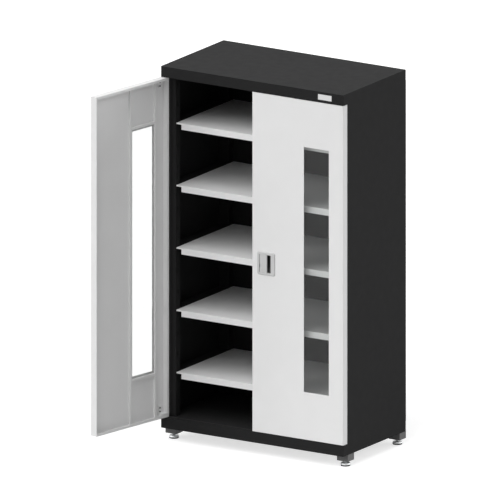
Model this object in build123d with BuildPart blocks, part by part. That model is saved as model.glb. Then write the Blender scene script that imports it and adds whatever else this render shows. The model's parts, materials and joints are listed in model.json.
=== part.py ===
"""Two-door desiccator cabinet with five shelves on levelling feet, in millimetres.

The origin is on the floor, under the centre of the cabinet body. X points to the
right, Y to the back and Z up. The right door is closed and the left one stands open.
"""

import os

from build123d import *

os.makedirs("parts", exist_ok=True)

# Body
body_width = 1000.0
body_depth = 550.0
foot_height = 60.0  # floor to the underside of the base
base_height = 51.0
cap_height = 51.0
opening_height = 1638.0  # base deck to the underside of the cap
sheet = 1.5  # cap, base, sides, uprights and rails
panel_sheet = 1.2  # back, ceiling, shelves and door stiffeners
fold_radius = 2.0  # outside radius of a visible fold
cap_rim = 30.0  # turned-in rim under the cap
base_rim_width = 66.0  # base's underside at each side, over the foot brackets
base_rim_depth = 98.0  # base's underside at the front and the rear
ceiling_inset = 20.0  # ceiling edge to the outside of the cap
side_flange = 20.0
back_recess = 4.0  # back panel's seat to the rear of the body

# Uprights
stile_width = 57.0  # outside of the body to the upright's inner face
stile_depth = 40.0
slot_width = 5.0
slot_height = 22.0
slot_pitch = 100.0
slot_margin = 30.0  # least distance of a slot's centre from the upright's end

# Shelves and their rails
shelf_count = 5
shelf_steps = 3  # slot pitches between two shelves
lowest_shelf = 215.0  # base deck to the top of the lowest shelf
shelf_lip = 30.0
shelf_return = 10.0
shelf_lip_end = 6.0  # height of the lip over the rail's end
shelf_front_gap = 3.0  # front of the uprights to the shelf
shelf_back_gap = 1.0
shelf_side_gap = 0.5
rail_width = 29.0
rail_height = 30.0
rail_end_gap = 0.3
hook_thickness = 3.0
hook_height = 17.0
hook_reach = 5.0  # hook beyond the face of the upright
hook_drop = 15.5  # shelf top to the middle of the hook

# Doors
door_thickness = 37.0
door_sheet = 1.5
door_back_gap = 2.0  # door to the front of the carcass
door_top_gap = 2.0
door_bottom_gap = 3.0
door_side_gap = 1.25
door_meeting_gap = 2.5
door_lip = 12.0  # turned-in lip at the top, bottom and hinge side
door_free_lip = 3.0
door_fold_radius = 1.5
left_door_swing = 100.6  # degrees that the left door stands open
window_inset = 78.0  # door's hinge edge to the window
window_width = 137.0
window_height = 1179.0
window_rise = 1.5  # middle of the door up to the middle of the window
stiffener_width = 12.0
stiffener_depth = 10.0
stiffener_offset = 10.5  # window to the stiffener beside it
pane_thickness = 3.0
pane_play = 0.5
gasket_thickness = 1.0
gasket_setback = 3.5  # window to the gasket's inner edge

# Pivots, at the outer front corners
pivot_inset_x = 9.0  # outside of the body to the pivot's axis
pivot_inset_y = 12.0  # front of the body to the pivot's axis
pivot_radius = 4.0
bush_radius = 5.5
bush_length = 12.0  # inside the door
bush_play = 0.3
pivot_bracket_length = 34.0
pivot_bracket_depth = 24.0
pivot_bracket_flange = 14.0
pivot_bracket_height = 50.0
pivot_bracket_leg = 3.0
running_clearance = 0.05

# Seals and catch
seal_width = 12.0
seal_play = 0.3
upright_seal_inset = 20.0
head_seal_play = 0.5
head_seal_inset = 30.0  # side of the body to the strips over and under the doors
meeting_seal_play = 0.8
catch_length = 40.0
catch_depth = 15.0
catch_height = 14.0
catch_inset = 5.0  # middle of the cabinet to the catch

# Latch on the right door
latch_width = 98.0
latch_height = 112.0
latch_inset = 27.0  # door's free edge to the latch's plate
latch_proud = 4.5
latch_corner = 10.0
latch_bevel = 3.5
latch_body_height = 96.0
latch_body_start = 9.0  # plate's free-edge side to the body behind it
latch_body_width = 76.0
latch_body_depth = 22.0
latch_body_gap = 0.5
latch_cup_wall = 1.5
pocket_start = 12.0
pocket_floor_end = 62.0
pocket_end = 76.0
pocket_height = 86.0
scoop_bulge = 0.8  # share of the scoop's width that its arc's middle has covered
pocket_ramp_height = 30.0  # lower part of the pocket, where its floor comes forward
pocket_ramp_depth = 14.0
paddle_pin_offset = 18.0  # plate's free-edge side to the paddle's pin
paddle_end = 55.0
paddle_thickness = 3.0
paddle_grip = 5.0
paddle_play = 0.5
barrel_radius = 4.5
paddle_pin_radius = 2.0
spring_start = 5.0  # middle of the latch down to the spring
spring_length = 15.0
spring_radius = 4.0
arm_length = 40.5
arm_thickness = 4.0
arm_height = 8.0
arm_rise = 18.0  # middle of the latch up to the arm and the bolt
arm_play = 0.6
bolt_stroke = 13.5
bolt_reach = 12.0  # bolt beyond the door's free edge
bolt_thickness = 3.0
bolt_height = 18.0
bolt_length = 75.0
bolt_bevel = 5.0  # along the bolt, on its inner side
bolt_bevel_depth = 2.0
bolt_back_gap = 0.5
guide_length = 58.0
guide_start = -18.0  # plate's free-edge side to the guide
guide_play = 0.3
guide_wall = 1.5
guide_lip = 3.0
guide_foot = 8.0

# Badge plate on the cap
badge_width = 74.0
badge_height = 26.0
badge_thickness = 1.2
badge_inset = 101.0  # right side of the body to the middle of the badge
badge_drop = 25.0  # top of the cap to the middle of the badge

# Levelling feet
bracket_width = 60.0
bracket_length = 55.0
bracket_height = 33.0
bracket_wall = 3.0
bracket_setback = 40.0  # front of the body to the front brackets
stem_radius = 6.0
stem_top = 56.0
disc_radius = 23.5
disc_height = 16.0
nut_width = 19.0
nut_height = 7.0

# Heights and planes worked out from the sizes above
half_width = body_width / 2
front_y = -body_depth / 2
back_y = body_depth / 2
base_top = foot_height + base_height
cap_bottom = base_top + opening_height
cap_top = cap_bottom + cap_height
carcass_front = front_y + door_thickness + door_back_gap
back_seat = back_y - back_recess
rear_upright_back = back_seat - sheet
stile_inner = half_width - stile_width
shelf_pitch = shelf_steps * slot_pitch
shelf_tops = [base_top + lowest_shelf + row * shelf_pitch for row in range(shelf_count)]
shelf_front = carcass_front + shelf_front_gap
shelf_back = back_seat - shelf_back_gap
rail_outer = stile_inner - rail_end_gap
shelf_half_width = rail_outer - sheet - shelf_side_gap

foot_x = half_width - bracket_width / 2
front_foot_y = front_y + bracket_setback + bracket_length / 2
rear_foot_y = back_y - bracket_length / 2
foot_places = {
    "front_left": (-foot_x, front_foot_y),
    "front_right": (foot_x, front_foot_y),
    "rear_left": (-foot_x, rear_foot_y),
    "rear_right": (foot_x, rear_foot_y),
}

# A door's own frame: origin on its pivot's axis, x to the free edge, y inwards
door_width = half_width - door_side_gap - door_meeting_gap / 2
door_bottom = base_top + door_bottom_gap
door_top = cap_bottom - door_top_gap
door_middle = (door_bottom + door_top) / 2
door_height = door_top - door_bottom
hinge_edge = door_side_gap - pivot_inset_x
free_edge = hinge_edge + door_width
door_front = -pivot_inset_y
door_back = door_front + door_thickness
skin_back = door_front + door_sheet
window_start = hinge_edge + window_inset
window_centre = window_start + window_width / 2
window_middle = door_middle + window_rise

# The latch in the door's frame
plate_edge = free_edge - latch_inset
plate_front = door_front - latch_proud
body_back = door_front + latch_body_depth
pin_x = plate_edge - paddle_pin_offset
pin_y = plate_front + barrel_radius
bolt_front = door_back + bolt_back_gap
bolt_middle = door_middle + arm_rise

pivot_y = front_y + pivot_inset_y
left_pose = Location((-half_width + pivot_inset_x, pivot_y, 0), (0, 0, 1), -left_door_swing)
right_pose = Location((half_width - pivot_inset_x, pivot_y, 0))


def save(piece, name):
    """Labels a finished sub-part and writes it to its STEP file."""
    piece.part.label = name
    export_step(piece.part, f"parts/{name}.step")


def save_on_door(piece, name, right):
    """Hangs a piece made in the door's frame on the left or the right door."""
    with BuildPart() as hung:
        with Locations(right_pose if right else left_pose):
            add(mirror(piece.part, about=Plane.YZ, mode=Mode.PRIVATE) if right else piece.part)
    save(hung, name)


def block(low, high, mode=Mode.ADD):
    """Adds a rectangular block between two corners to the open part."""
    middle = tuple((a + b) / 2 for a, b in zip(low, high))
    with Locations(middle):
        Box(*[b - a for a, b in zip(low, high)], mode=mode)


def folded_section(plane, points, thickness):
    """The section of a folded sheet whose outer face follows the points."""
    with BuildSketch(plane) as section:
        with BuildLine():
            Polyline(*points)
            offset(amount=thickness, side=Side.RIGHT, kind=Kind.INTERSECTION)
        make_face()
    return section.sketch


# ---------------------------------------------------------------- base and cap


def deck_tray(top, height, rim_width, rim_depth):
    """A folded tray with its deck on top and its rim turned in underneath."""
    bottom = Plane.XY.offset(top - height)
    with BuildPart() as tray:
        with BuildSketch(bottom):
            Rectangle(body_width, body_depth)
        extrude(amount=height)
        fillet(tray.edges().filter_by(Axis.Z), radius=fold_radius)
        with BuildSketch(bottom):
            Rectangle(body_width - 2 * rim_width, body_depth - 2 * rim_depth)
        extrude(amount=sheet, mode=Mode.SUBTRACT)
        with BuildSketch(bottom.offset(sheet)):
            Rectangle(body_width - 2 * sheet, body_depth - 2 * sheet)
        extrude(amount=height - 2 * sheet, mode=Mode.SUBTRACT)
    return tray


save(deck_tray(base_top, base_height, base_rim_width, base_rim_depth), "base_pan")
save(deck_tray(cap_top, cap_height, cap_rim, cap_rim), "top_cap")

with BuildPart() as ceiling_panel:
    with BuildSketch(Plane.XY.offset(cap_bottom + sheet)):
        Rectangle(body_width - 2 * ceiling_inset, body_depth - 2 * ceiling_inset)
    extrude(amount=panel_sheet)
save(ceiling_panel, "ceiling_panel")

with BuildPart() as badge_plate:
    with BuildSketch(Plane.XZ.offset(-front_y)):
        with Locations((half_width - badge_inset, cap_top - badge_drop)):
            Rectangle(badge_width, badge_height)
    extrude(amount=badge_thickness)
save(badge_plate, "badge_plate")


# ------------------------------------------------------- sides, back and uprights

with BuildPart() as side_panel:
    inner = half_width - sheet
    with BuildSketch(Plane.XY.offset(base_top)):
        with BuildLine():
            Polyline(
                (half_width, carcass_front),
                (half_width, back_y),
                (inner, back_y),
                (inner, back_seat),
                (half_width - side_flange, back_seat),
                (half_width - side_flange, back_seat - sheet),
                (inner, back_seat - sheet),
                (inner, carcass_front),
                close=True,
            )
        make_face()
    extrude(amount=opening_height)
save(side_panel, "right_side_panel")

with BuildPart() as left_side_panel:
    add(mirror(side_panel.part, about=Plane.YZ, mode=Mode.PRIVATE))
save(left_side_panel, "left_side_panel")


with BuildPart() as back_panel:
    panel_half = half_width - sheet - rail_end_gap
    block((-panel_half, back_seat, base_top), (panel_half, back_seat + panel_sheet, cap_bottom))
save(back_panel, "back_panel")


def slot_heights():
    """Middles of an upright's slots, in step with the hooks of the shelf rails."""
    hook = shelf_tops[0] - hook_drop
    down = int((hook - base_top - slot_margin) // slot_pitch)
    up = int((cap_bottom - slot_margin - hook) // slot_pitch)
    return [hook + step * slot_pitch for step in range(-down, up + 1)]


def upright(front):
    """A folded channel, open to the side panel, with a column of slots."""
    with BuildPart() as channel:
        outer = half_width - sheet
        points = [
            (outer, front),
            (stile_inner, front),
            (stile_inner, front + stile_depth),
            (outer, front + stile_depth),
        ]
        section = folded_section(Plane.XY.offset(base_top), points, sheet)
        extrude(section, amount=opening_height)
        fillet(channel.edges().filter_by(Axis.Z).group_by(Axis.X)[0], radius=fold_radius)
        with BuildSketch(Plane.YZ.offset(stile_inner)) as slots:
            with Locations(*[(front + stile_depth / 2, height) for height in slot_heights()]):
                Rectangle(slot_width, slot_height)
        extrude(slots.sketch, amount=sheet, mode=Mode.SUBTRACT)
    return channel


for place, upright_front in (("front", carcass_front), ("rear", rear_upright_back - stile_depth)):
    right_upright = upright(upright_front)
    save(right_upright, f"{place}_right_upright")
    with BuildPart() as left_upright:
        add(mirror(right_upright.part, about=Plane.YZ, mode=Mode.PRIVATE))
    save(left_upright, f"{place}_left_upright")

with BuildPart() as door_frame_seals:
    seal_start = half_width - upright_seal_inset - seal_width
    seal_front = carcass_front - door_back_gap + seal_play
    block(
        (seal_start, seal_front, door_bottom),
        (seal_start + seal_width, carcass_front, door_top),
    )
    mirror(about=Plane.YZ)
    strip_half = half_width - head_seal_inset
    strip_near = front_y + (door_thickness - seal_width) / 2
    for low, high in (
        (base_top, door_bottom - head_seal_play),
        (door_top + head_seal_play, cap_bottom),
    ):
        block((-strip_half, strip_near, low), (strip_half, strip_near + seal_width, high))
save(door_frame_seals, "door_frame_seals")


# --------------------------------------------------------------- shelves and rails


def shelf(top):
    """A folded shelf whose front and rear lips are cut away over the rails."""
    low = top - shelf_lip
    with BuildPart() as tray:
        points = [
            (shelf_front + shelf_return, low),
            (shelf_front, low),
            (shelf_front, top),
            (shelf_back, top),
            (shelf_back, low),
            (shelf_back - shelf_return, low),
        ]
        section = folded_section(Plane.YZ, points, panel_sheet)
        extrude(section, amount=shelf_half_width, both=True)
        fillet(tray.edges().filter_by(Axis.X).group_by(Axis.Z)[-1], radius=fold_radius)
        lip_half = stile_inner - rail_width - shelf_side_gap
        for side in (-1, 1):
            near, far = sorted((side * lip_half, side * half_width))
            block(
                (near, front_y, low - sheet),
                (far, back_y, top - shelf_lip_end),
                mode=Mode.SUBTRACT,
            )
    return tray


def shelf_rails(top):
    """A pair of side rails: a ledge beside the shelf and a channel under its edge."""
    rail_inner = stile_inner - rail_width
    low = top - rail_height
    bearing = top - panel_sheet
    rail_front = shelf_front + fold_radius + rail_end_gap
    rail_back = shelf_back - fold_radius - rail_end_gap
    ledge_front = carcass_front + stile_depth + rail_end_gap
    ledge_back = rear_upright_back - stile_depth - rail_end_gap
    hook_middle = top - hook_drop
    with BuildPart() as rails:
        with BuildSketch(Plane.XZ.offset(-rail_back)):
            with BuildLine():
                Polyline(
                    (rail_outer, low),
                    (rail_outer, top),
                    (rail_outer - sheet, top),
                    (rail_outer - sheet, bearing),
                    (rail_inner, bearing),
                    (rail_inner, low),
                    (rail_inner + sheet, low),
                    (rail_inner + sheet, bearing - sheet),
                    (rail_outer - sheet, bearing - sheet),
                    (rail_outer - sheet, low),
                    close=True,
                )
            make_face()
        extrude(amount=rail_back - rail_front)
        block((rail_outer, ledge_front, top - sheet), (half_width - sheet - rail_end_gap, ledge_back, top))
        for upright_front in (carcass_front, rear_upright_back - stile_depth):
            hook_y = upright_front + stile_depth / 2
            block(
                (rail_outer, hook_y - hook_thickness / 2, hook_middle - hook_height / 2),
                (stile_inner + hook_reach, hook_y + hook_thickness / 2, hook_middle + hook_height / 2),
            )
        mirror(about=Plane.YZ)
    return rails


for number, shelf_top in enumerate(reversed(shelf_tops), start=1):
    save(shelf(shelf_top), f"shelf_{number}")
    save(shelf_rails(shelf_top), f"shelf_{number}_rails")


# -------------------------------------------------------------------------- doors


def door_pan(latched):
    """A folded pan with a window, open to the inside, its lips turned in."""
    with BuildPart() as pan:
        with BuildSketch(Plane.XZ.offset(-door_back)):
            with Locations((hinge_edge + door_width / 2, door_middle)):
                Rectangle(door_width, door_height)
        extrude(amount=door_thickness)
        fillet(pan.faces().sort_by(Axis.Y)[0].edges(), radius=door_fold_radius)
        block(
            (hinge_edge + door_sheet, skin_back, door_bottom + door_sheet),
            (free_edge - door_sheet, door_back - door_sheet, door_top - door_sheet),
            mode=Mode.SUBTRACT,
        )
        block(
            (hinge_edge + door_lip, skin_back, door_bottom + door_lip),
            (free_edge - door_free_lip, door_back, door_top - door_lip),
            mode=Mode.SUBTRACT,
        )
        with BuildSketch(Plane.XZ.offset(-skin_back)):
            with Locations((window_centre, window_middle)):
                Rectangle(window_width, window_height)
            if latched:
                with Locations((plate_edge - latch_body_start - latch_body_width / 2, door_middle)):
                    Rectangle(latch_body_width + 2 * latch_body_gap, latch_body_height + 2 * latch_body_gap)
        extrude(amount=door_sheet, mode=Mode.SUBTRACT)
        with BuildSketch(Plane.XY.offset(door_bottom)):
            Circle(bush_radius + running_clearance)
        extrude(amount=door_height, mode=Mode.SUBTRACT)
    return pan


def window_frame_planes():
    """Inner edges of the frame that the stiffeners make round the window."""
    return (
        window_start - stiffener_offset,
        window_start + window_width + stiffener_offset,
        window_middle - window_height / 2 - stiffener_offset,
        window_middle + window_height / 2 + stiffener_offset,
    )


def stiffener_section(plane, start, end):
    """A channel section on the door's skin, from start to end across it."""
    points = [
        (start, skin_back),
        (start, skin_back + stiffener_depth),
        (end, skin_back + stiffener_depth),
        (end, skin_back),
    ]
    return folded_section(plane, points, panel_sheet)


def door_stiffeners():
    """Two full-height channels beside the window and one above and below it."""
    left, right, low, high = window_frame_planes()
    with BuildPart() as stiffeners:
        upright_plane = Plane.XY.offset(door_bottom + door_sheet)
        for start in (left - stiffener_width, right):
            section = stiffener_section(upright_plane, start, start + stiffener_width)
            extrude(section, amount=door_height - 2 * door_sheet)
        cross_plane = Plane(origin=(left, 0, 0), x_dir=(0, 0, 1), z_dir=(-1, 0, 0))
        for start in (low - stiffener_width, high):
            section = stiffener_section(cross_plane, start, start + stiffener_width)
            extrude(section, amount=left - right)
    return stiffeners


def window_pane():
    """The clear pane, seated on the back of the door's skin."""
    left, right, low, high = window_frame_planes()
    with BuildPart() as pane:
        block(
            (left + pane_play, skin_back, low + pane_play),
            (right - pane_play, skin_back + pane_thickness, high - pane_play),
        )
    return pane


def window_gasket():
    """The rubber frame that holds the pane against the skin."""
    left, right, low, high = window_frame_planes()
    with BuildPart() as gasket:
        with BuildSketch(Plane.XZ.offset(-skin_back - pane_thickness - gasket_thickness)):
            with Locations(((left + right) / 2, (low + high) / 2)):
                Rectangle(right - left, high - low)
                Rectangle(
                    window_width + 2 * gasket_setback,
                    window_height + 2 * gasket_setback,
                    mode=Mode.SUBTRACT,
                )
        extrude(amount=gasket_thickness)
    return gasket


def pivot_brackets():
    """The blocks inside the door's top and bottom flanges, bored for the bushes, each with a leg."""
    start = hinge_edge + door_sheet
    end = start + pivot_bracket_length
    with BuildPart() as brackets:
        for outer, inward in ((door_bottom + door_sheet, 1), (door_top - door_sheet, -1)):
            low, high = sorted((outer, outer + inward * pivot_bracket_flange))
            block((start, skin_back, low), (end, skin_back + pivot_bracket_depth, high))
            low, high = sorted((outer, outer + inward * pivot_bracket_height))
            block((start, skin_back, low), (end, skin_back + pivot_bracket_leg, high))
            with BuildSketch(Plane.XY.offset(outer)):
                Circle(bush_radius + running_clearance)
            extrude(amount=inward * (bush_length - door_sheet + bush_play), mode=Mode.SUBTRACT)
    return brackets


def pivot_bushes():
    """The plain bushes that turn on the pivot pins; the bottom one carries the door."""
    with BuildPart() as bushes:
        for low, high in (
            (base_top + bush_play, door_bottom + bush_length),
            (door_top - bush_length, door_top),
        ):
            with BuildSketch(Plane.XY.offset(low)):
                Circle(bush_radius)
                Circle(pivot_radius + running_clearance, mode=Mode.SUBTRACT)
            extrude(amount=high - low)
    return bushes


for on_right, hand in ((False, "left"), (True, "right")):
    save_on_door(door_pan(on_right), f"{hand}_door_pan", on_right)
    save_on_door(door_stiffeners(), f"{hand}_door_stiffeners", on_right)
    save_on_door(window_pane(), f"{hand}_window_pane", on_right)
    save_on_door(window_gasket(), f"{hand}_window_gasket", on_right)
    save_on_door(pivot_brackets(), f"{hand}_pivot_brackets", on_right)
    save_on_door(pivot_bushes(), f"{hand}_pivot_bushes", on_right)


with BuildPart() as meeting_seal:
    seal_middle = (door_front + door_back) / 2
    block(
        (free_edge, seal_middle - seal_width / 2, door_bottom),
        (free_edge + door_meeting_gap - meeting_seal_play, seal_middle + seal_width / 2, door_top),
    )
save_on_door(meeting_seal, "meeting_seal", right=True)


with BuildPart() as pivot_pins:
    for low, high in (
        (base_top, door_bottom + bush_length - bush_play),
        (door_top - bush_length + bush_play, cap_bottom),
    ):
        with BuildSketch(Plane.XY.offset(low)):
            with Locations((half_width - pivot_inset_x, pivot_y), (pivot_inset_x - half_width, pivot_y)):
                Circle(pivot_radius)
        extrude(amount=high - low)
save(pivot_pins, "pivot_pins")

with BuildPart() as left_door_catch:
    catch_front = carcass_front - door_back_gap + seal_play
    catch_top = cap_bottom + sheet
    block(
        (-catch_inset - catch_length, catch_front, catch_top - catch_height),
        (-catch_inset, catch_front + catch_depth, catch_top),
    )
save(left_door_catch, "left_door_catch")


# --------------------------------------------------------------------------- latch


def pin_bore():
    """Cuts the paddle's pin's bore through the open part."""
    with BuildSketch(Plane.XY.offset(door_middle - latch_body_height / 2)) as bore:
        with Locations((pin_x, pin_y)):
            Circle(paddle_pin_radius + running_clearance)
    extrude(bore.sketch, amount=latch_body_height, mode=Mode.SUBTRACT)


def latch_plate():
    """The bevelled plate on the door's face, open over the cup behind it."""
    with BuildPart() as plate:
        with BuildSketch(Plane.XZ.offset(-door_front)):
            with Locations((plate_edge - latch_width / 2, door_middle)):
                RectangleRounded(latch_width, latch_height, latch_corner)
        extrude(amount=latch_proud)
        chamfer(plate.faces().sort_by(Axis.Y)[0].edges(), length=latch_bevel)
        with BuildSketch(Plane.XZ.offset(-door_front)):
            with Locations((plate_edge - (pocket_start + pocket_end) / 2, door_middle)):
                Rectangle(pocket_end - pocket_start, pocket_height)
        extrude(amount=latch_proud, mode=Mode.SUBTRACT)
        pin_bore()
    return plate


def latch_cup():
    """The cup behind the plate: a deep pocket, scooped at its far side and ramped below."""
    with BuildPart() as cup:
        body_end = plate_edge - latch_body_start
        block(
            (body_end - latch_body_width, door_front, door_middle - latch_body_height / 2),
            (body_end, body_back, door_middle + latch_body_height / 2),
        )
        pocket_back = body_back - latch_cup_wall
        pocket_low = door_middle - pocket_height / 2
        near = (plate_edge - pocket_start, door_front)
        far = (plate_edge - pocket_end, door_front)
        corner = (plate_edge - pocket_floor_end, pocket_back)
        bulge = (corner[0] + (far[0] - corner[0]) * scoop_bulge, (corner[1] + far[1]) / 2)
        with BuildSketch(Plane.XY.offset(pocket_low)):
            with BuildLine():
                Polyline(far, near, (near[0], pocket_back), corner)
                ThreePointArc(corner, bulge, far)
            make_face()
        extrude(amount=pocket_height, mode=Mode.SUBTRACT)
        with BuildSketch(Plane.YZ.offset(far[0])):
            with BuildLine():
                Polyline(
                    (pocket_back - pocket_ramp_depth, pocket_low),
                    (pocket_back, pocket_low),
                    (pocket_back, pocket_low + pocket_ramp_height),
                    close=True,
                )
            make_face()
        extrude(amount=near[0] - far[0])
        pin_bore()
        slot_half = arm_height / 2 + arm_play
        block(
            (pin_x - arm_thickness - bolt_stroke, pocket_back, bolt_middle - slot_half),
            (pin_x + arm_thickness, body_back, bolt_middle + slot_half),
            mode=Mode.SUBTRACT,
        )
    return cup


def latch_paddle():
    """The pull paddle on its pin, with the arm that draws the bolt."""
    paddle_half = pocket_height / 2 - paddle_play
    with BuildPart() as paddle:
        with BuildSketch(Plane.XY.offset(door_middle - paddle_half)):
            with Locations((pin_x, pin_y)):
                Circle(barrel_radius)
            with BuildLine():
                Polyline(
                    (pin_x, plate_front),
                    (plate_edge - paddle_end, plate_front),
                    (plate_edge - paddle_end, plate_front + 2 * paddle_thickness),
                    (plate_edge - paddle_end + paddle_grip, plate_front + paddle_thickness),
                    (pin_x, plate_front + paddle_thickness),
                    close=True,
                )
            make_face()
        extrude(amount=2 * paddle_half)
        block(
            (pin_x - arm_thickness / 2, pin_y, bolt_middle - arm_height / 2),
            (pin_x + arm_thickness / 2, pin_y + arm_length, bolt_middle + arm_height / 2),
        )
        spring_top = door_middle - spring_start
        block(
            (pin_x - barrel_radius - paddle_play, plate_front, spring_top - spring_length),
            (pin_x + barrel_radius, pin_y + barrel_radius, spring_top),
            mode=Mode.SUBTRACT,
        )
        pin_bore()
    return paddle


def latch_pin():
    """The paddle's pin, held in the plate and in the top and bottom walls of the cup."""
    with BuildPart() as pin:
        with BuildSketch(Plane.XY.offset(door_middle - latch_body_height / 2)):
            with Locations((pin_x, pin_y)):
                Circle(paddle_pin_radius)
        extrude(amount=latch_body_height)
    return pin


def latch_spring():
    """The space of the close-wound return spring round the paddle's pin."""
    with BuildPart() as spring:
        with BuildSketch(Plane.XY.offset(door_middle - spring_start - spring_length + paddle_play)):
            with Locations((pin_x, pin_y)):
                Circle(spring_radius)
                Circle(paddle_pin_radius + running_clearance, mode=Mode.SUBTRACT)
        extrude(amount=spring_length - 2 * paddle_play)
    return spring


def latch_bolt():
    """The sliding bolt, with a bevelled tip and a slot for the paddle's arm."""
    tip = free_edge + bolt_reach
    with BuildPart() as bolt:
        block(
            (tip - bolt_length, bolt_front, bolt_middle - bolt_height / 2),
            (tip, bolt_front + bolt_thickness, bolt_middle + bolt_height / 2),
        )
        tip_face = bolt.faces().sort_by(Axis.X)[-1]
        tip_edge = tip_face.edges().filter_by(Axis.Z).sort_by(Axis.Y)[-1]
        chamfer(tip_edge, length=bolt_bevel_depth, length2=bolt_bevel, reference=tip_face)
        slot_x = arm_thickness / 2 + arm_play
        slot_z = arm_height / 2 + arm_play
        block(
            (pin_x - slot_x, bolt_front, bolt_middle - slot_z),
            (pin_x + slot_x, bolt_front + bolt_thickness, bolt_middle + slot_z),
            mode=Mode.SUBTRACT,
        )
    return bolt


def latch_guide():
    """The channel on the back of the cup that the bolt slides in."""
    start = plate_edge - guide_start - guide_length
    half = bolt_height / 2 + guide_play
    web = bolt_front + bolt_thickness + guide_play
    lip_front = bolt_front - guide_play - guide_wall
    with BuildPart() as guide:
        for side in (-1, 1):
            low, high = sorted((side * half, side * (half + guide_wall)))
            lip_low, lip_high = sorted((side * (half - guide_lip), side * half))
            foot_low, foot_high = sorted((side * half, side * (half + guide_foot)))
            block(
                (start, body_back, bolt_middle + low),
                (start + guide_length, web + guide_wall, bolt_middle + high),
            )
            block(
                (start, lip_front, bolt_middle + lip_low),
                (start + guide_length, lip_front + guide_wall, bolt_middle + lip_high),
            )
            block(
                (start, body_back, bolt_middle + foot_low),
                (start + guide_length, body_back + guide_wall, bolt_middle + foot_high),
            )
        block(
            (start, web, bolt_middle - half),
            (start + guide_length, web + guide_wall, bolt_middle + half),
        )
    return guide


save_on_door(latch_plate(), "latch_plate", right=True)
save_on_door(latch_cup(), "latch_cup", right=True)
save_on_door(latch_pin(), "latch_pin", right=True)
save_on_door(latch_spring(), "latch_spring", right=True)
save_on_door(latch_guide(), "latch_guide", right=True)
save_on_door(latch_paddle(), "latch_paddle", right=True)
save_on_door(latch_bolt(), "latch_bolt", right=True)


# ---------------------------------------------------------------------------- feet


def foot_bracket():
    """A square cup under the base's rim, bored for the foot's stem."""
    with BuildPart() as cup:
        with BuildSketch(Plane.XY.offset(foot_height - bracket_height)):
            Rectangle(bracket_width, bracket_length)
        extrude(amount=bracket_height)
        with BuildSketch(Plane.XY.offset(foot_height - bracket_height + bracket_wall)):
            Rectangle(bracket_width - 2 * bracket_wall, bracket_length - 2 * bracket_wall)
        extrude(amount=bracket_height - bracket_wall, mode=Mode.SUBTRACT)
        with BuildSketch(Plane.XY.offset(foot_height - bracket_height)):
            Circle(stem_radius + running_clearance)
        extrude(amount=bracket_wall, mode=Mode.SUBTRACT)
    return cup.part


def levelling_foot():
    """The disc of a foot, on its sole, with the stem that screws into the bracket."""
    with BuildPart() as foot:
        with BuildSketch():
            Circle(disc_radius)
        extrude(amount=disc_height)
        with BuildSketch(Plane.XY.offset(disc_height)):
            Circle(stem_radius)
        extrude(amount=stem_top - disc_height)
    return foot.part


def lock_nut():
    """The hexagon nut that locks a stem under its bracket."""
    with BuildPart() as nut:
        with BuildSketch(Plane.XY.offset(foot_height - bracket_height - nut_height)):
            RegularPolygon(nut_width / 2, 6, major_radius=False)
            Circle(stem_radius + running_clearance, mode=Mode.SUBTRACT)
        extrude(amount=nut_height)
    return nut.part


for place, centre in foot_places.items():
    with BuildPart() as bracket:
        with Locations(centre):
            add(foot_bracket())
    save(bracket, f"{place}_foot_bracket")
    with BuildPart() as foot:
        with Locations(centre):
            add(levelling_foot())
    save(foot, f"{place}_foot")

with BuildPart() as foot_lock_nuts:
    with Locations(*foot_places.values()):
        add(lock_nut())
save(foot_lock_nuts, "foot_lock_nuts")
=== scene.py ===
"""The looks of the two-door desiccator cabinet: finishes, small trim, light and camera.

Every length is in metres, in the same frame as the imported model: the origin is on the
floor under the centre of the cabinet's body, +X to the right, +Y to the back, +Z up.
"""

import json
import math

import bmesh
import bpy
from mathutils import Matrix, Vector


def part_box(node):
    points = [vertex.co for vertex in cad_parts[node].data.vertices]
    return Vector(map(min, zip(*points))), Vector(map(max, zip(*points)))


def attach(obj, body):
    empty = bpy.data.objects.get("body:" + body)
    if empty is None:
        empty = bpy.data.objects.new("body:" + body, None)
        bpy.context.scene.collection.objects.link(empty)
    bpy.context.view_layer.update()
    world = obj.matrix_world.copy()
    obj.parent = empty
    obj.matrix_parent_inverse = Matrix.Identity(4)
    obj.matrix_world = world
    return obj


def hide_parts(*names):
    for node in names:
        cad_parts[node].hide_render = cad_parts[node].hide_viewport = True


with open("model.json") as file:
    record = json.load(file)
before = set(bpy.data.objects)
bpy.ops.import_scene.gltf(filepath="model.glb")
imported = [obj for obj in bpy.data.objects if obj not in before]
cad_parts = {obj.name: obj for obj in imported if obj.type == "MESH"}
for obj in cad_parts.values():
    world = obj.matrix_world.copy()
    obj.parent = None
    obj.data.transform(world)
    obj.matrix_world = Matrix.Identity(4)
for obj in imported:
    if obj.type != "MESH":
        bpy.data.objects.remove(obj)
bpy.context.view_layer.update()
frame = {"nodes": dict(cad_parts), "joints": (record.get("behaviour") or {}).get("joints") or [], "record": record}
nodes = frame["nodes"]

# The photograph's view: its direction, the point in its middle and its width
VIEW_AZIMUTH = math.radians(32)
VIEW_ELEVATION = math.radians(15)
VIEW_CENTRE = Vector((-0.03131, -0.24315, 0.97381))
VIEW_WIDTH = 2.3247
CAMERA_DISTANCE = 6.0
CAMERA_REACH = 50.0

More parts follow.
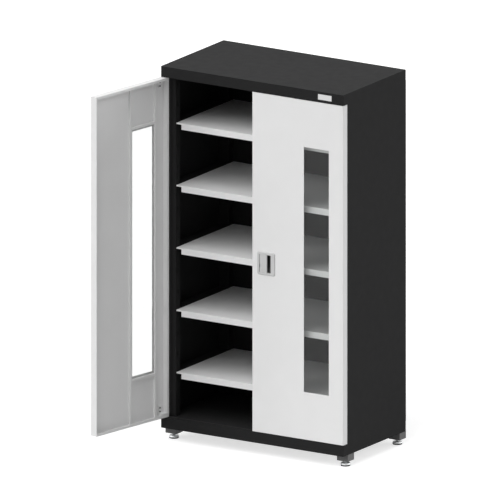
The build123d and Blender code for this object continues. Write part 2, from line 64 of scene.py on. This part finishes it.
# Finishes, as linear colours
BLACK_PAINT = (0.0170, 0.0170, 0.0173)
WHITE_PAINT = (0.80, 0.80, 0.80)
GREY_PAINT = (0.11, 0.11, 0.11)
LATCH_GREY = (0.57, 0.57, 0.57)
PLATE_METAL = (0.64, 0.64, 0.64)
ZINC = (0.64, 0.65, 0.66)
GREY_RUBBER = (0.56, 0.56, 0.56)
BLACK_RUBBER = (0.012, 0.012, 0.012)
BLACK_PLASTIC = (0.028, 0.028, 0.028)
PANE_TINT = (0.80, 0.81, 0.805)
PANE_IOR = 1.31
PANE_WAVE_HEIGHT = 0.00003
PANE_UNEVENNESS = 0.002  # share by which the tint goes up and down
NOISE_LOW, NOISE_HIGH = 0.3, 0.7  # most of a noise texture's values lie between these
COAT_PEEL = 0.00004  # height of the powder coat's orange peel
LATCH_PEEL = 0.00002
COAT_SMEAR = 0.03  # how far the powder coat's roughness goes up and down
EDGE_SAMPLES = 4  # rays that look for a sharp edge to round

# Detail pieces in general
CORNERS = ("front_left", "front_right", "rear_left", "rear_right")
SHARP_ANGLE = math.radians(35)
ROUND_SIDES = 48
HEXAGON_TURN = math.pi / 3  # from one flat of a nut to the next
Z_TO_Y = Matrix.Rotation(-math.pi / 2, 4, "X")  # lays a head that stands along z along y

# Levelling feet: heights are above the floor
FOOT_EDGE = 0.001  # chamfer of the disc's and the boss's edges
DISC_RADIUS = 0.0235
DISC_TOP = 0.015
SHOULDER_RADIUS = 0.0215  # the disc's raised middle
RIM_TOP = 0.0100  # where the disc's rim ends and its raised middle starts
SOLE_HEIGHT = 0.0055
SOLE_PROFILE = (  # radius and height
    (0.0210, 0.0),
    (0.0225, 0.0006),
    (0.0229, 0.0022),
    (0.0221, 0.0030),
    (0.0221, SOLE_HEIGHT),
)
BOSS_RADIUS = 0.010
BOSS_TOP = 0.016
THREAD_PITCH = 0.00175
THREAD_CREST = 0.006
THREAD_ROOT = 0.0052
THREAD_FORM = (  # radius, and share of the pitch
    (THREAD_ROOT, 0.1),
    (THREAD_ROOT, 0.3),
    (THREAD_CREST, 0.6),
    (THREAD_CREST, 0.8),
)
STEM_TIP_RADIUS = 0.0044

# Lock nuts
NUT_ACROSS = 0.019
NUT_CHAMFER = 0.0012
NUT_FACE_RADIUS = 0.0091
NUT_BORE_RADIUS = 0.0061
NUT_MOUTH_RADIUS = 0.0066
NUT_MOUTH_DEPTH = 0.0005

# Latch spring
COIL_WIRE = 0.0007
COIL_TURNS = 8
COIL_STEPS = 24
WIRE_SIDES = 10

# Back panel's rivets
RIVET_SIDES = 20
RIVET_RADIUS = 0.0032
RIVET_HEIGHT = 0.0014
RIVET_PITCH = 0.15
RIVET_INSET_X = 0.009
RIVET_INSET_Z = 0.04
DOME_PROFILE = (  # share of the rivet's radius, and share of its height
    (1, 0),
    (1, 0.15),
    (0.88, 0.5),
    (0.62, 0.82),
    (0.3, 0.97),
    (0.08, 1),
)

# Socket screws of the pivot brackets and of the bolt's guide
SCREW_RADIUS = 0.0038
SCREW_HEIGHT = 0.0025
SCREW_EDGE = 0.0004
SOCKET_RADIUS = 0.0017
SOCKET_FLOOR = 0.0006
SCREW_X = 0.0195  # pivot's axis to the screws, along the door
SCREW_Y = -0.0075  # pivot's axis to the face that the screws' heads stand on
SCREW_RISES = (0.024, 0.042)  # door's top or bottom edge to the screws
GUIDE_SHEET = 0.0015
GUIDE_SCREW_EDGE = 0.0040  # edge of the guide's foot to its screws
GUIDE_SCREW_INSETS = (0.007, 0.023)  # end of the guide to its screws

# Light: each lamp's strength, its bearing from the front towards +X, its elevation and
# its spread, in degrees
LAMPS = {
    "front_low": (0.48, 0, 35, 40),
    "front": (0.76, 0, 55, 40),
    "front_high": (0.66, 0, 75, 40),
    "left": (1.32, -45, 30, 40),
    "right": (0.36, 90, 40, 40),
    "rear_right": (0.94, 135, 15, 40),
    "rear": (0.88, 180, 40, 140),
}
SKY_LIGHT = 0.04  # the surround's light on things; the camera, gloss and glass see it as 1
FLOOR_SIZE = 60.0
FLOOR_COLOUR = 0.60
FLOOR_ROUGHNESS = 0.9
FLOOR_GLOW = 0.68  # what the camera, gloss and glass see beyond the floor's own light


# ---------------------------------------------------------------------- node helpers


def new_material(name):
    """An empty material with its Principled shader, and the tree's nodes and links."""
    material = bpy.data.materials.new(name)
    material.use_nodes = True
    tree = material.node_tree
    tree.nodes.clear()
    output = tree.nodes.new("ShaderNodeOutputMaterial")
    shader = tree.nodes.new("ShaderNodeBsdfPrincipled")
    tree.links.new(shader.outputs["BSDF"], output.inputs["Surface"])
    return material, tree, shader


def object_coordinates(tree, stretch):
    """The surface point in metres, with each axis stretched."""
    place = tree.nodes.new("ShaderNodeTexCoord")
    mapping = tree.nodes.new("ShaderNodeMapping")
    mapping.inputs["Scale"].default_value = stretch
    tree.links.new(place.outputs["Object"], mapping.inputs["Vector"])
    return mapping.outputs["Vector"]


def noise(tree, scale, detail=3.0, stretch=(1.0, 1.0, 1.0)):
    """A noise texture's value; scale is in waves per metre."""
    texture = tree.nodes.new("ShaderNodeTexNoise")
    texture.inputs["Scale"].default_value = scale
    texture.inputs["Detail"].default_value = detail
    tree.links.new(object_coordinates(tree, stretch), texture.inputs["Vector"])
    return texture.outputs["Fac"]


def to_range(tree, value, low, high, start=NOISE_LOW, end=NOISE_HIGH):
    """Maps a value from the range between start and end to the one between low and high."""
    mapped = tree.nodes.new("ShaderNodeMapRange")
    mapped.inputs["From Min"].default_value = start
    mapped.inputs["From Max"].default_value = end
    mapped.inputs["To Min"].default_value = low
    mapped.inputs["To Max"].default_value = high
    tree.links.new(value, mapped.inputs["Value"])
    return mapped.outputs["Result"]


def tinted(tree, colour, value, spread):
    """The colour, a little darker and lighter where the noise value is low and high."""
    ramp = tree.nodes.new("ShaderNodeValToRGB")
    dark, light = ramp.color_ramp.elements
    dark.position, light.position = NOISE_LOW, NOISE_HIGH
    dark.color = (*[c * (1 - spread) for c in colour], 1)
    light.color = (*[min(c * (1 + spread), 1) for c in colour], 1)
    tree.links.new(value, ramp.inputs["Fac"])
    return ramp.outputs["Color"]


def bump(tree, height, depth, normal=None):
    """A bump whose depth is in metres, laid over a normal where one is given."""
    node = tree.nodes.new("ShaderNodeBump")
    node.inputs["Distance"].default_value = depth
    tree.links.new(height, node.inputs["Height"])
    if normal is not None:
        tree.links.new(normal, node.inputs["Normal"])
    return node.outputs["Normal"]


def soft_edges(tree, radius):
    """A normal that rounds sharp edges by a radius."""
    bevel = tree.nodes.new("ShaderNodeBevel")
    bevel.samples = EDGE_SAMPLES
    bevel.inputs["Radius"].default_value = radius
    return bevel.outputs["Normal"]


# ---------------------------------------------------------------------- materials


def textured(
    name,
    colour,
    cloud,
    cloudiness,
    roughness,
    relief,
    edge,
    smear=None,
    grain=None,
    specular=0.5,
    metallic=0.0,
):
    """A material that three noises make uneven, with its sharp edges rounded by edge.

    The cloud noise moves the colour by the share cloudiness, the smear noise moves the
    roughness between two values, and the grain noise gives a relief of that height. The
    cloud does the work of a smear or a grain that isn't given.
    """
    material, tree, shader = new_material(name)
    clouds = noise(tree, **cloud)
    smears = noise(tree, **smear) if smear else clouds
    grains = noise(tree, **grain) if grain else clouds
    tree.links.new(tinted(tree, colour, clouds, cloudiness), shader.inputs["Base Color"])
    tree.links.new(to_range(tree, smears, *roughness), shader.inputs["Roughness"])
    tree.links.new(bump(tree, grains, relief, soft_edges(tree, edge)), shader.inputs["Normal"])
    shader.inputs["Specular IOR Level"].default_value = specular
    shader.inputs["Metallic"].default_value = metallic
    return material


def powder_coat(name, colour, roughness, specular, peel=COAT_PEEL):
    """Powder-coated sheet: a fine orange peel, faint cloudiness and softened folds."""
    return textured(
        name,
        colour,
        cloud={"scale": 7.0},
        smear={"scale": 26.0},
        grain={"scale": 620.0, "detail": 2.0},
        cloudiness=0.012,
        roughness=(roughness - COAT_SMEAR, roughness + COAT_SMEAR),
        relief=peel,
        edge=0.0006,
        specular=specular,
    )


def zinc_plate(name, colour):
    """Bright zinc on turned steel: fine turning marks and a faint patchiness."""
    return textured(
        name,
        colour,
        cloud={"scale": 90.0},
        grain={"scale": 160.0, "detail": 2.0, "stretch": (1.0, 1.0, 30.0)},
        cloudiness=0.08,
        roughness=(0.28, 0.42),
        relief=0.00003,
        edge=0.0004,
        metallic=0.6,
    )


def anodised_plate(name, colour):
    """Satin anodised aluminium, brushed along its length."""
    return textured(
        name,
        colour,
        cloud={"scale": 45.0, "detail": 4.0, "stretch": (1.0, 40.0, 40.0)},
        cloudiness=0.05,
        roughness=(0.35, 0.5),
        relief=0.00002,
        edge=0.0004,
        metallic=0.3,
    )


def rubber(name, colour):
    """Extruded rubber: matt, with a fine grain and a little bloom."""
    return textured(
        name,
        colour,
        cloud={"scale": 40.0},
        grain={"scale": 1500.0, "detail": 2.0},
        cloudiness=0.12,
        roughness=(0.7, 0.85),
        relief=0.00005,
        edge=0.0005,
        specular=0.3,
    )


def moulded_plastic(name, colour):
    """Moulded plastic with a fine spark-eroded texture."""
    return textured(
        name,
        colour,
        cloud={"scale": 60.0},
        grain={"scale": 1100.0, "detail": 2.0},
        cloudiness=0.06,
        roughness=(0.45, 0.55),
        relief=0.00006,
        edge=0.0004,
    )


def window_glass(name):
    """Lightly tinted glass with a barely uneven surface."""
    material, tree, shader = new_material(name)
    waves = noise(tree, scale=9.0, detail=1.0)
    tree.links.new(bump(tree, waves, PANE_WAVE_HEIGHT), shader.inputs["Normal"])
    tree.links.new(tinted(tree, PANE_TINT, waves, PANE_UNEVENNESS), shader.inputs["Base Color"])
    shader.inputs["Roughness"].default_value = 0.0
    shader.inputs["IOR"].default_value = PANE_IOR
    shader.inputs["Transmission Weight"].default_value = 1.0
    return material


finishes = {
    "black_paint": powder_coat("black_paint", BLACK_PAINT, roughness=0.75, specular=0.08),
    "white_paint": powder_coat("white_paint", WHITE_PAINT, roughness=0.5, specular=0.25),
    "grey_paint": powder_coat("grey_paint", GREY_PAINT, roughness=0.45, specular=0.3),
    "latch_grey": powder_coat(
        "latch_grey", LATCH_GREY, roughness=0.42, specular=0.4, peel=LATCH_PEEL
    ),
    "bare_plate": anodised_plate("bare_plate", PLATE_METAL),
    "clear_glass": window_glass("clear_glass"),
    "grey_rubber": rubber("grey_rubber", GREY_RUBBER),
    "rubber": rubber("rubber", BLACK_RUBBER),
    "zinc": zinc_plate("zinc", ZINC),
    "black_plastic": moulded_plastic("black_plastic", BLACK_PLASTIC),
}


def finish_nodes():
    """Gives each CAD node the finish that the record states for it."""
    for subpart in frame["record"]["subparts"]:
        piece = nodes[subpart["node"]]
        if not piece.material_slots:
            piece.data.materials.append(None)
        for place in piece.material_slots:
            place.material = finishes[subpart["material_slot"]]


# ---------------------------------------------------------------------- detail pieces


def add_piece(name, shape, finish, body, stands_for=()):
    """Turns a bmesh into a piece that rides on a body and may stand for CAD nodes."""
    bmesh.ops.recalc_face_normals(shape, faces=shape.faces)
    mesh = bpy.data.meshes.new(name)
    shape.to_mesh(mesh)
    shape.free()
    mesh.materials.append(finishes[finish])
    mesh.shade_smooth()
    mesh.set_sharp_from_angle(angle=SHARP_ANGLE)
    piece = bpy.data.objects.new(name, mesh)
    bpy.context.scene.collection.objects.link(piece)
    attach(piece, body)
    if stands_for:
        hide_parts(*stands_for)


def loft(shape, rings, ends="capped"):
    """Joins rings of points into a skin, with its ends capped, or joined to each other."""
    loops = [[shape.verts.new(point) for point in ring] for ring in rings]
    pairs = list(zip(loops, loops[1:]))
    if ends == "joined":
        pairs.append((loops[-1], loops[0]))
    else:
        shape.faces.new(loops[0])
        shape.faces.new(loops[-1])
    for low, high in pairs:
        count = len(low)
        for k in range(count):
            after = (k + 1) % count
            shape.faces.new((low[k], low[after], high[after], high[k]))


def circle(radius, height, place, sides=ROUND_SIDES):
    """A ring of points round the place's own z axis."""
    turns = [2 * math.pi * k / sides for k in range(sides)]
    return [place @ Vector((radius * math.cos(t), radius * math.sin(t), height)) for t in turns]


def hexagon(across, height, place):
    """A hexagon's outline, sampled at the same directions as a circle."""
    ring = []
    for k in range(ROUND_SIDES):
        turn = 2 * math.pi * k / ROUND_SIDES
        off_flat = (turn + HEXAGON_TURN / 2) % HEXAGON_TURN - HEXAGON_TURN / 2
        reach = across / 2 / math.cos(off_flat)
        ring.append(place @ Vector((reach * math.cos(turn), reach * math.sin(turn), height)))
    return ring


def turned(shape, profile, place, sides=ROUND_SIDES):
    """A turned form: (radius, height) pairs swept round the place's z axis."""
    loft(shape, [circle(radius, height, place, sides) for radius, height in profile])


def middle(node):
    """The middle of a CAD node's box."""
    low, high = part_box(node)
    return (Vector(low) + Vector(high)) / 2


def foot_place(corner, bottom):
    """The place on a foot's axis whose z axis starts at the height bottom."""
    centre = middle(f"{corner}_foot")
    return Matrix.Translation((centre.x, centre.y, bottom))


def levelling_feet():
    """Each foot: a rubber sole, a stepped zinc disc with its boss, and a threaded stem."""
    for corner in CORNERS:
        low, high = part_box(f"{corner}_foot")
        place = foot_place(corner, low[2])
        stem_top = high[2] - low[2]
        disc = [
            (SHOULDER_RADIUS, SOLE_HEIGHT),
            (DISC_RADIUS, SOLE_HEIGHT + FOOT_EDGE),
            (DISC_RADIUS, RIM_TOP - FOOT_EDGE),
            (DISC_RADIUS - 1.5 * FOOT_EDGE, RIM_TOP + FOOT_EDGE),
            (SHOULDER_RADIUS, RIM_TOP + 2 * FOOT_EDGE),
            (SHOULDER_RADIUS, DISC_TOP - FOOT_EDGE),
            (SHOULDER_RADIUS - FOOT_EDGE, DISC_TOP),
            (BOSS_RADIUS, DISC_TOP),
            (BOSS_RADIUS - FOOT_EDGE, BOSS_TOP),
        ]
        for turn in range(int((stem_top - BOSS_TOP - THREAD_PITCH) / THREAD_PITCH)):
            start = BOSS_TOP + turn * THREAD_PITCH
            disc += [(radius, start + share * THREAD_PITCH) for radius, share in THREAD_FORM]
        disc += [(THREAD_ROOT, stem_top - THREAD_PITCH / 2), (STEM_TIP_RADIUS, stem_top)]
        shape = bmesh.new()
        turned(shape, disc, place)
        add_piece(f"{corner}_foot_disc", shape, "zinc", f"{corner}_foot", (f"{corner}_foot",))
        shape = bmesh.new()
        turned(shape, SOLE_PROFILE, place)
        add_piece(f"{corner}_foot_sole", shape, "rubber", f"{corner}_foot")


def lock_nuts():
    """Hexagon nuts with chamfered ends, bored for the stems."""
    low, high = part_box("foot_lock_nuts")
    height = high[2] - low[2]
    shape = bmesh.new()
    for corner in CORNERS:
        place = foot_place(corner, low[2])
        rings = [
            circle(NUT_MOUTH_RADIUS, 0, place),
            circle(NUT_FACE_RADIUS, 0, place),
            hexagon(NUT_ACROSS, NUT_CHAMFER, place),
            hexagon(NUT_ACROSS, height - NUT_CHAMFER, place),
            circle(NUT_FACE_RADIUS, height, place),
            circle(NUT_MOUTH_RADIUS, height, place),
            circle(NUT_BORE_RADIUS, height - NUT_MOUTH_DEPTH, place),
            circle(NUT_BORE_RADIUS, NUT_MOUTH_DEPTH, place),
        ]
        loft(shape, rings, ends="joined")
    add_piece("lock_nuts", shape, "zinc", "cabinet", ("foot_lock_nuts",))


def latch_coil():
    """The paddle's return spring, as a helix round the paddle's pin."""
    low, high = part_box("latch_spring")
    centre = middle("latch_spring")
    radius = (high[0] - low[0]) / 2 - COIL_WIRE
    start, end = low[2] + COIL_WIRE, high[2] - COIL_WIRE
    steps = COIL_TURNS * COIL_STEPS
    path = []
    for step in range(steps + 1):
        turn = 2 * math.pi * step / COIL_STEPS
        x = centre.x + radius * math.cos(turn)
        y = centre.y + radius * math.sin(turn)
        path.append(Vector((x, y, start + (end - start) * step / steps)))
    shape = bmesh.new()
    loft(shape, tube_rings(path, COIL_WIRE))
    add_piece("latch_coil", shape, "zinc", "right_door", ("latch_spring",))


def tube_rings(path, radius):
    """Rings of points square to a path."""
    rings = []
    for k, point in enumerate(path):
        along = (path[min(k + 1, len(path) - 1)] - path[max(k - 1, 0)]).normalized()
        across = along.cross(Vector((0, 0, 1))).normalized()
        up = across.cross(along)
        turns = [2 * math.pi * s / WIRE_SIDES for s in range(WIRE_SIDES)]
        rings.append([point + radius * (math.cos(t) * across + math.sin(t) * up) for t in turns])
    return rings


def back_rivets():
    """Blind rivets with low domed heads that hold the back panel on the side panels' flanges."""
    low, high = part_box("back_panel")
    run = high[2] - low[2] - 2 * RIVET_INSET_Z
    count = round(run / RIVET_PITCH)
    dome = [(RIVET_RADIUS * wide, RIVET_HEIGHT * tall) for wide, tall in DOME_PROFILE]
    shape = bmesh.new()
    for side in (low[0] + RIVET_INSET_X, high[0] - RIVET_INSET_X):
        for k in range(count + 1):
            height = low[2] + RIVET_INSET_Z + k * run / count
            spot = Matrix.Translation((side, high[1], height))
            turned(shape, dome, spot @ Z_TO_Y, RIVET_SIDES)
    add_piece("back_rivets", shape, "zinc", "cabinet")


def door_place(hand):
    """The matrix from a door's own frame to the cabinet's, at rest.

    A door's own frame stands on its hinge's axis, with x to the door's free edge and y
    into the closed cabinet.
    """
    joint = next(j for j in frame["joints"] if j["name"] == f"{hand}_door_hinge")
    place = Matrix.Translation(joint["pos_m"])
    if hand == "left":
        return place @ Matrix.Rotation(math.radians(joint["range_deg"][0]), 4, "Z")
    return place @ Matrix.Scale(-1, 4, (1, 0, 0))


def socket_screw(shape, place):
    """A screw's socket head that stands on the place's plane."""
    profile = [
        (SCREW_RADIUS, 0.0),
        (SCREW_RADIUS, SCREW_HEIGHT - SCREW_EDGE),
        (SCREW_RADIUS - SCREW_EDGE, SCREW_HEIGHT),
        (SOCKET_RADIUS, SCREW_HEIGHT),
        (SOCKET_RADIUS, SOCKET_FLOOR),
    ]
    turned(shape, profile, place)


def guide_screws():
    """Four screws through the feet of the bolt's guide into the latch's cup."""
    low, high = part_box("latch_guide")
    shape = bmesh.new()
    for inset in GUIDE_SCREW_INSETS:
        for height in (low[2] + GUIDE_SCREW_EDGE, high[2] - GUIDE_SCREW_EDGE):
            spot = Matrix.Translation((high[0] - inset, low[1] + GUIDE_SHEET, height))
            socket_screw(shape, spot @ Z_TO_Y)
    add_piece("guide_screws", shape, "black_plastic", "right_door")


def pivot_screws():
    """Two dark socket-head screws that hold each pivot bracket on its door."""
    for hand in ("left", "right"):
        low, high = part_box(f"{hand}_door_pan")
        shape = bmesh.new()
        for edge, inward in ((low[2], 1), (high[2], -1)):
            for rise in SCREW_RISES:
                spot = Matrix.Translation((SCREW_X, SCREW_Y, edge + inward * rise))
                socket_screw(shape, door_place(hand) @ spot @ Z_TO_Y)
        add_piece(f"{hand}_pivot_screws", shape, "black_plastic", f"{hand}_door")


# ---------------------------------------------------------------------- stage


def seen_directly(tree):
    """One for the camera's rays, gloss and glass, and zero for the light on things."""
    path = tree.nodes.new("ShaderNodeLightPath")
    seen = path.outputs["Is Camera Ray"]
    for kind in ("Is Glossy Ray", "Is Transmission Ray"):
        either = tree.nodes.new("ShaderNodeMath")
        either.operation = "MAXIMUM"
        tree.links.new(seen, either.inputs[0])
        tree.links.new(path.outputs[kind], either.inputs[1])
        seen = either.outputs[0]
    return seen


def floor():
    """A pale floor that reads as white and keeps a soft shadow."""
    material, tree, shader = new_material("floor")
    shader.inputs["Base Color"].default_value = (FLOOR_COLOUR, FLOOR_COLOUR, FLOOR_COLOUR, 1)
    shader.inputs["Roughness"].default_value = FLOOR_ROUGHNESS
    shader.inputs["Specular IOR Level"].default_value = 0.0
    shader.inputs["Emission Color"].default_value = (1, 1, 1, 1)
    glow = to_range(tree, seen_directly(tree), 0.0, FLOOR_GLOW, start=0.0, end=1.0)
    tree.links.new(glow, shader.inputs["Emission Strength"])
    mesh = bpy.data.meshes.new("floor")
    half = FLOOR_SIZE / 2
    corners = [(-half, -half, 0), (half, -half, 0), (half, half, 0), (-half, half, 0)]
    mesh.from_pydata(corners, [], [(0, 1, 2, 3)])
    mesh.materials.append(material)
    plane = bpy.data.objects.new("floor", mesh)
    bpy.context.scene.collection.objects.link(plane)


def sky():
    """An even surround that the camera, glass and metal see as white."""
    world = bpy.data.worlds.new("studio")
    bpy.context.scene.world = world
    world.use_nodes = True
    tree = world.node_tree
    tree.nodes.clear()
    output = tree.nodes.new("ShaderNodeOutputWorld")
    background = tree.nodes.new("ShaderNodeBackground")
    background.inputs["Color"].default_value = (1, 1, 1, 1)
    strength = to_range(tree, seen_directly(tree), SKY_LIGHT, 1.0, start=0.0, end=1.0)
    tree.links.new(strength, background.inputs["Strength"])
    tree.links.new(background.outputs["Background"], output.inputs["Surface"])


def lamps():
    """Broad, far-off lamps round the cabinet, as soft boxes in a studio."""
    for name, (strength, bearing, elevation, spread) in LAMPS.items():
        lamp = bpy.data.lights.new(name, "SUN")
        lamp.energy = strength
        lamp.angle = math.radians(spread)
        holder = bpy.data.objects.new(name, lamp)
        holder.rotation_euler = (math.radians(90 - elevation), 0, math.radians(bearing))
        bpy.context.scene.collection.objects.link(holder)


def camera():
    """The photograph's parallel view."""
    level = math.cos(VIEW_ELEVATION)
    back = Vector(
        (
            math.sin(VIEW_AZIMUTH) * level,
            -math.cos(VIEW_AZIMUTH) * level,
            math.sin(VIEW_ELEVATION),
        )
    )
    data = bpy.data.cameras.new("camera")
    data.type = "ORTHO"
    data.ortho_scale = VIEW_WIDTH
    data.clip_end = CAMERA_REACH
    holder = bpy.data.objects.new("camera", data)
    holder.location = VIEW_CENTRE + back * CAMERA_DISTANCE
    holder.rotation_euler = (-back).to_track_quat("-Z", "Y").to_euler()
    bpy.context.scene.collection.objects.link(holder)
    bpy.context.scene.camera = holder


finish_nodes()
levelling_feet()
lock_nuts()
latch_coil()
back_rivets()
pivot_screws()
guide_screws()
floor()
sky()
lamps()
camera()
bpy.context.scene.view_settings.view_transform = "Standard"
